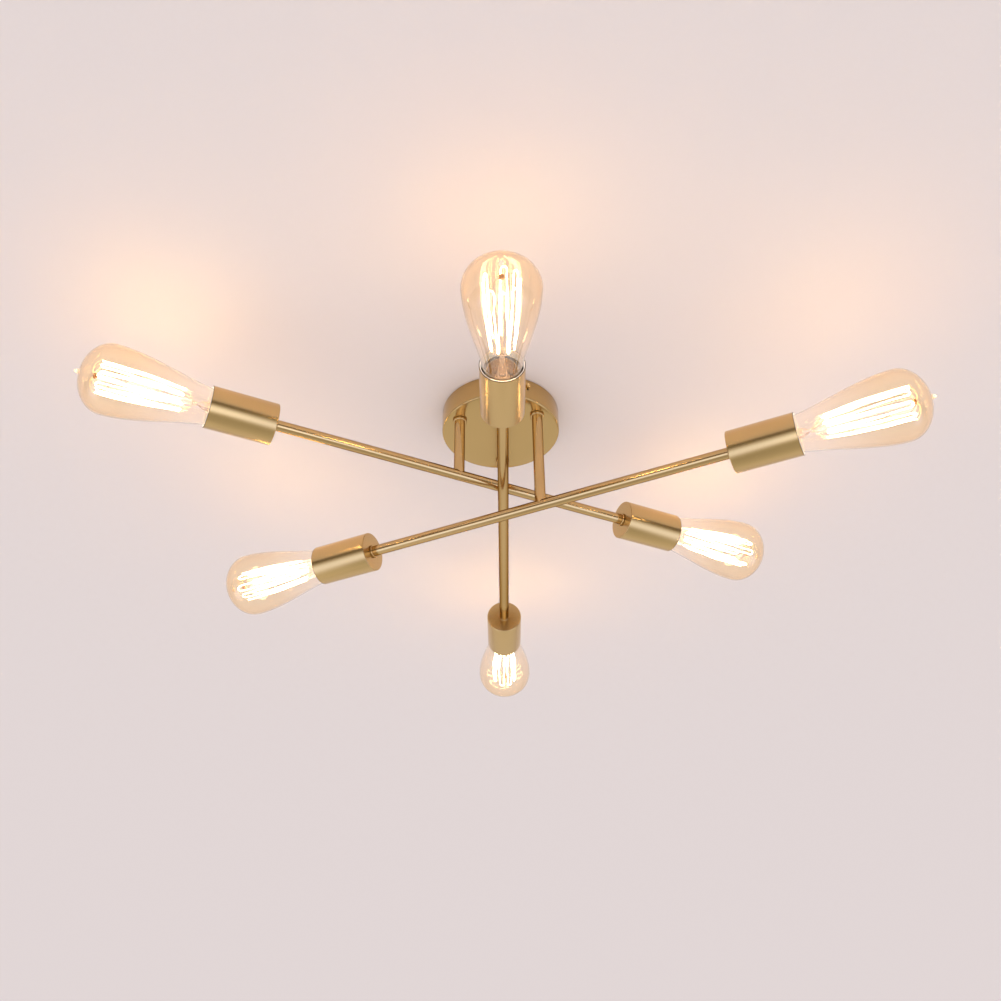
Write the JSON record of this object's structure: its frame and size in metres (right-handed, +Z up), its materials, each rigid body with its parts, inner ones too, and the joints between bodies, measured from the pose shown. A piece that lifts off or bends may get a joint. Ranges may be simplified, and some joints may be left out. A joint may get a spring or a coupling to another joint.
{
  "type": "ceiling light",
  "caption": "Semi-flush ceiling light with a round canopy, vertical stems of stepped length, straight crossing arms and a lamp in a cup at each arm end.",
  "frame": {"origin": "on the ceiling, at the centre of the mounting bracket's top face and of the round canopy", "axes": "+Z up through the ceiling, +X to the right and +Y away when the light is seen from the front, from below"},
  "size_m": [0.7263, 0.718, 0.168],
  "materials": {
    "brushed_brass": "satin, brushed round the piece",
    "polished_brass": "polished, clear lacquered",
    "zinc_steel": "zinc plated",
    "green_steel": "green passivated",
    "phenolic": "moulded, semi-matt black",
    "cap_brass": "bright, rolled thread",
    "amber_glass": "clear, amber tinted",
    "mount_glass": "clear",
    "wire_jacket": "matt",
    "connector_nylon": "matt",
    "filament": "glowing coiled tungsten wire"
  },
  "bodies": {
    "base": {"mounting_bracket": "zinc_steel", "canopy": "brushed_brass", "canopy_screw_front": "polished_brass", "canopy_screw_back": "polished_brass", "ground_screw": "green_steel", "splice_leads": "wire_jacket", "wire_connector_live": "connector_nylon", "wire_connector_neutral": "connector_nylon"},
    "arm_upper": {"arm_tube_upper": "polished_brass", "stem_upper": "polished_brass", "stem_collar_upper": "polished_brass", "stem_nut_upper": "zinc_steel", "wiring_upper": "wire_jacket", "end_ring_upper_right": "polished_brass", "cup_upper_right": "brushed_brass", "lamp_holder_upper_right": "phenolic", "end_ring_upper_left": "polished_brass", "cup_upper_left": "brushed_brass", "lamp_holder_upper_left": "phenolic"},
    "bulb_upper_right": {"bulb_glass_upper_right": "amber_glass"},
    "core_upper_right": {"bulb_cap_upper_right": "cap_brass", "filament_mount_upper_right": "mount_glass"},
    "bulb_upper_left": {"bulb_glass_upper_left": "amber_glass"},
    "core_upper_left": {"bulb_cap_upper_left": "cap_brass", "filament_mount_upper_left": "mount_glass"},
    "arm_middle": {"arm_tube_middle": "polished_brass", "stem_middle": "polished_brass", "stem_collar_middle": "polished_brass", "stem_nut_middle": "zinc_steel", "wiring_middle": "wire_jacket", "end_ring_middle_back": "polished_brass", "cup_middle_back": "brushed_brass", "lamp_holder_middle_back": "phenolic", "end_ring_middle_front": "polished_brass", "cup_middle_front": "brushed_brass", "lamp_holder_middle_front": "phenolic"},
    "bulb_middle_back": {"bulb_glass_middle_back": "amber_glass"},
    "core_middle_back": {"bulb_cap_middle_back": "cap_brass", "filament_mount_middle_back": "mount_glass"},
    "bulb_middle_front": {"bulb_glass_middle_front": "amber_glass"},
    "core_middle_front": {"bulb_cap_middle_front": "cap_brass", "filament_mount_middle_front": "mount_glass"},
    "arm_lower": {"arm_tube_lower": "polished_brass", "stem_lower": "polished_brass", "stem_collar_lower": "polished_brass", "stem_nut_lower": "zinc_steel", "wiring_lower": "wire_jacket", "end_ring_lower_right": "polished_brass", "cup_lower_right": "brushed_brass", "lamp_holder_lower_right": "phenolic", "end_ring_lower_left": "polished_brass", "cup_lower_left": "brushed_brass", "lamp_holder_lower_left": "phenolic"},
    "bulb_lower_right": {"bulb_glass_lower_right": "amber_glass"},
    "core_lower_right": {"bulb_cap_lower_right": "cap_brass", "filament_mount_lower_right": "mount_glass"},
    "bulb_lower_left": {"bulb_glass_lower_left": "amber_glass"},
    "core_lower_left": {"bulb_cap_lower_left": "cap_brass", "filament_mount_lower_left": "mount_glass"}
  },
  "joints": [
    {"name": "swivel_upper", "type": "hinge", "parent": "base", "child": "arm_upper", "pos_m": [-0.04106, -0.02183, -0.0945], "axis": [0, 0, 1], "range_deg": [-20, 20]},
    {"name": "bulb_upper_right_travel", "type": "slide", "parent": "arm_upper", "child": "bulb_upper_right", "axis": [0.8988, 0.4384, 0], "range_m": [0, 0.01814]},
    {"name": "bulb_upper_right_turn", "type": "hinge", "parent": "bulb_upper_right", "child": "core_upper_right", "pos_m": [0.1787, 0.08535, -0.0945], "axis": [0.8988, 0.4384, 0], "range_deg": [0, 1800]},
    {"name": "bulb_upper_left_travel", "type": "slide", "parent": "arm_upper", "child": "bulb_upper_left", "axis": [-0.8988, -0.4384, 0], "range_m": [0, 0.01814]},
    {"name": "bulb_upper_left_turn", "type": "hinge", "parent": "bulb_upper_left", "child": "core_upper_left", "pos_m": [-0.26081, -0.12901, -0.0945], "axis": [-0.8988, -0.4384, 0], "range_deg": [0, 1800]},
    {"name": "swivel_middle", "type": "hinge", "parent": "base", "child": "arm_middle", "pos_m": [0.00162, 0.04647, -0.1115], "axis": [0, 0, 1], "range_deg": [-20, 15]},
    {"name": "bulb_middle_back_travel", "type": "slide", "parent": "arm_middle", "child": "bulb_middle_back", "axis": [0, 1, 0], "range_m": [0, 0.01814]},
    {"name": "bulb_middle_back_turn", "type": "hinge", "parent": "bulb_middle_back", "child": "core_middle_back", "pos_m": [0.00162, 0.29097, -0.1115], "axis": [0, 1, 0], "range_deg": [0, 1800]},
    {"name": "bulb_middle_front_travel", "type": "slide", "parent": "arm_middle", "child": "bulb_middle_front", "axis": [0, -1, 0], "range_m": [0, 0.01814]},
    {"name": "bulb_middle_front_turn", "type": "hinge", "parent": "bulb_middle_front", "child": "core_middle_front", "pos_m": [0.00162, -0.19803, -0.1115], "axis": [0, -1, 0], "range_deg": [0, 1800]},
    {"name": "swivel_lower", "type": "hinge", "parent": "base", "child": "arm_lower", "pos_m": [0.03664, -0.02863, -0.136], "axis": [0, 0, 1], "range_deg": [-20, 20]},
    {"name": "bulb_lower_right_travel", "type": "slide", "parent": "arm_lower", "child": "bulb_lower_right", "axis": [0.9063, -0.4226, 0], "range_m": [0, 0.01814]},
    {"name": "bulb_lower_right_turn", "type": "hinge", "parent": "bulb_lower_right", "child": "core_lower_right", "pos_m": [0.25823, -0.13196, -0.136], "axis": [0.9063, -0.4226, 0], "range_deg": [0, 1800]},
    {"name": "bulb_lower_left_travel", "type": "slide", "parent": "arm_lower", "child": "bulb_lower_left", "axis": [-0.9063, 0.4226, 0], "range_m": [0, 0.01814]},
    {"name": "bulb_lower_left_turn", "type": "hinge", "parent": "bulb_lower_left", "child": "core_lower_left", "pos_m": [-0.18495, 0.0747, -0.136], "axis": [-0.9063, 0.4226, 0], "range_deg": [0, 1800]}
  ],
  "couplings": [
    {"joint": "bulb_upper_right_turn", "follows": "bulb_upper_right_travel", "rad_per_m": 1731.6},
    {"joint": "bulb_upper_left_turn", "follows": "bulb_upper_left_travel", "rad_per_m": 1731.6},
    {"joint": "bulb_middle_back_turn", "follows": "bulb_middle_back_travel", "rad_per_m": 1731.6},
    {"joint": "bulb_middle_front_turn", "follows": "bulb_middle_front_travel", "rad_per_m": 1731.6},
    {"joint": "bulb_lower_right_turn", "follows": "bulb_lower_right_travel", "rad_per_m": 1731.6},
    {"joint": "bulb_lower_left_turn", "follows": "bulb_lower_left_travel", "rad_per_m": 1731.6}
  ]
}
